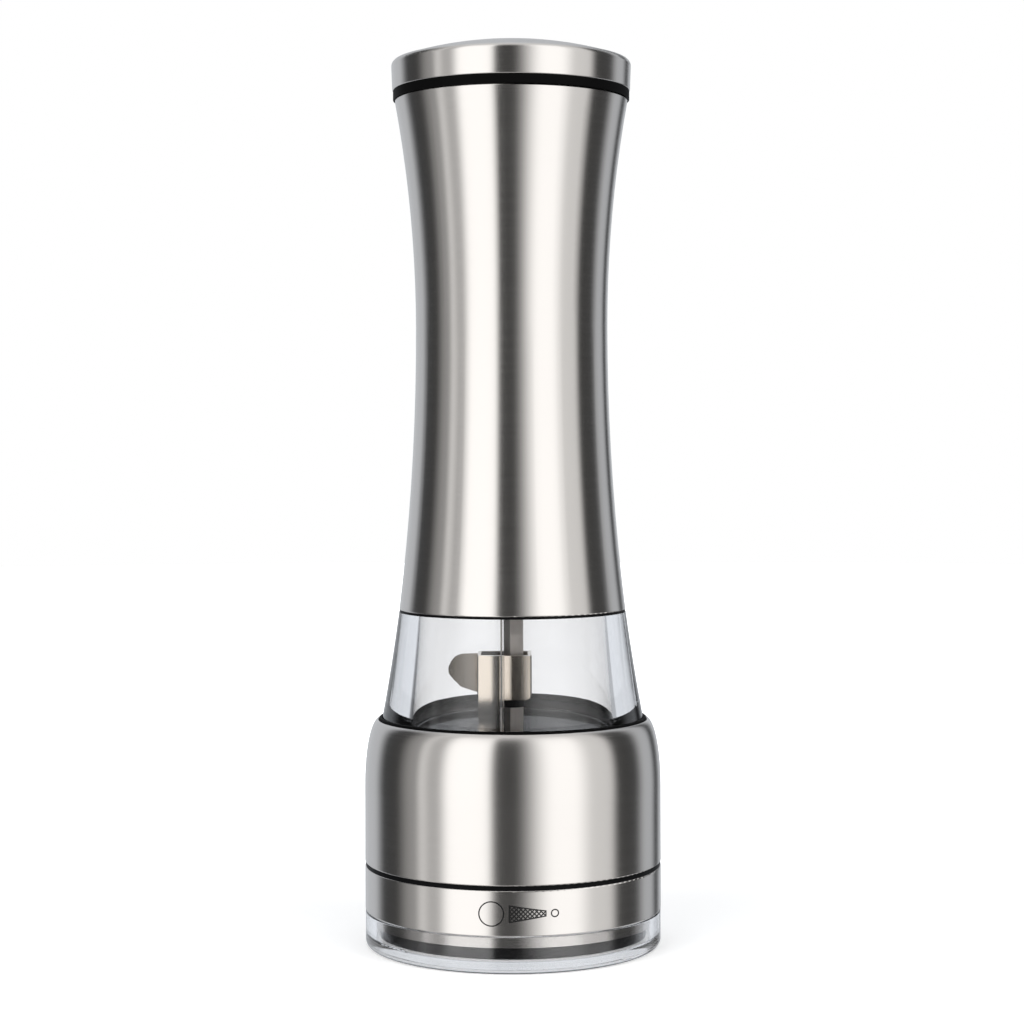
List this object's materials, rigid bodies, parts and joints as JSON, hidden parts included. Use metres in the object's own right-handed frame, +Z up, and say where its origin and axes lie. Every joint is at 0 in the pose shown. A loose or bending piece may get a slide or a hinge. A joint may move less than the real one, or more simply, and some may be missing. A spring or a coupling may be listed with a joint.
{
  "type": "pepper mill",
  "caption": "Steel and clear acrylic twist pepper mill with pull-off lid, adjusting ring and clear base dish.",
  "frame": {"origin": "centre of the underside of the base dish, on the table", "axes": "+Z up along the shaft; the engraved coarseness scale faces -Y"},
  "size_m": [0.066, 0.066, 0.2],
  "materials": {
    "brushed_steel": "satin, brushed round the axis",
    "spring_steel": "bright",
    "clear_acrylic": "clear, polished",
    "black_plastic": "glossy",
    "satin_black_plastic": "satin",
    "silicone": "matte",
    "ceramic": "fine ground"
  },
  "bodies": {
    "base_cap": {"base_dish": "clear_acrylic"},
    "lower_body": {"clamp_ring": "satin_black_plastic", "clamp_screws": "spring_steel", "lower_shell": "brushed_steel", "mouth_seal": "silicone", "hopper": "clear_acrylic", "hopper_gasket": "silicone", "grinder_housing": "black_plastic", "bearing_bush": "satin_black_plastic"},
    "adjust_ring": {"adjust_sleeve": "brushed_steel", "adjust_collar": "black_plastic", "retaining_ring": "spring_steel"},
    "burr_slide": {"burr_carrier": "satin_black_plastic", "ring_burr": "ceramic", "burr_circlip": "spring_steel", "carrier_spring": "spring_steel"},
    "turning_top": {"cone_burr": "ceramic", "rotor_driver": "satin_black_plastic", "rotor_washer": "spring_steel", "rotor_screw": "spring_steel", "drive_shaft": "spring_steel", "stirrer": "brushed_steel", "stop_collar": "satin_black_plastic", "glide_ring": "satin_black_plastic", "upper_shell": "brushed_steel", "upper_liner": "satin_black_plastic", "mouth_collar": "satin_black_plastic", "drive_bridge": "satin_black_plastic", "shaft_nut": "spring_steel"},
    "lid": {"lid_cap": "brushed_steel", "lid_plug": "satin_black_plastic", "lid_seal": "silicone"}
  },
  "joints": [
    {"name": "base_cap_pull", "type": "slide", "parent": "base_cap", "child": "lower_body", "axis": [0, 0, 1], "range_m": [0, 0.03]},
    {"name": "twist", "type": "hinge", "parent": "lower_body", "child": "turning_top", "pos_m": [0, 0, 0.0744], "axis": [0, 0, 1], "continuous": true},
    {"name": "adjust_turn", "type": "hinge", "parent": "lower_body", "child": "adjust_ring", "pos_m": [0, 0, 0.0128], "axis": [0, 0, 1], "range_deg": [-120, 120]},
    {"name": "carrier_slide", "type": "slide", "parent": "lower_body", "child": "burr_slide", "axis": [0, 0, 1], "range_m": [-0.0008, 0.0008], "deforming": ["carrier_spring"]},
    {"name": "lid_pull", "type": "slide", "parent": "turning_top", "child": "lid", "axis": [0, 0, 1], "range_m": [0, 0.03]}
  ],
  "couplings": [
    {"joint": "carrier_slide", "follows": "adjust_turn", "m_per_rad": 0.00038197}
  ]
}
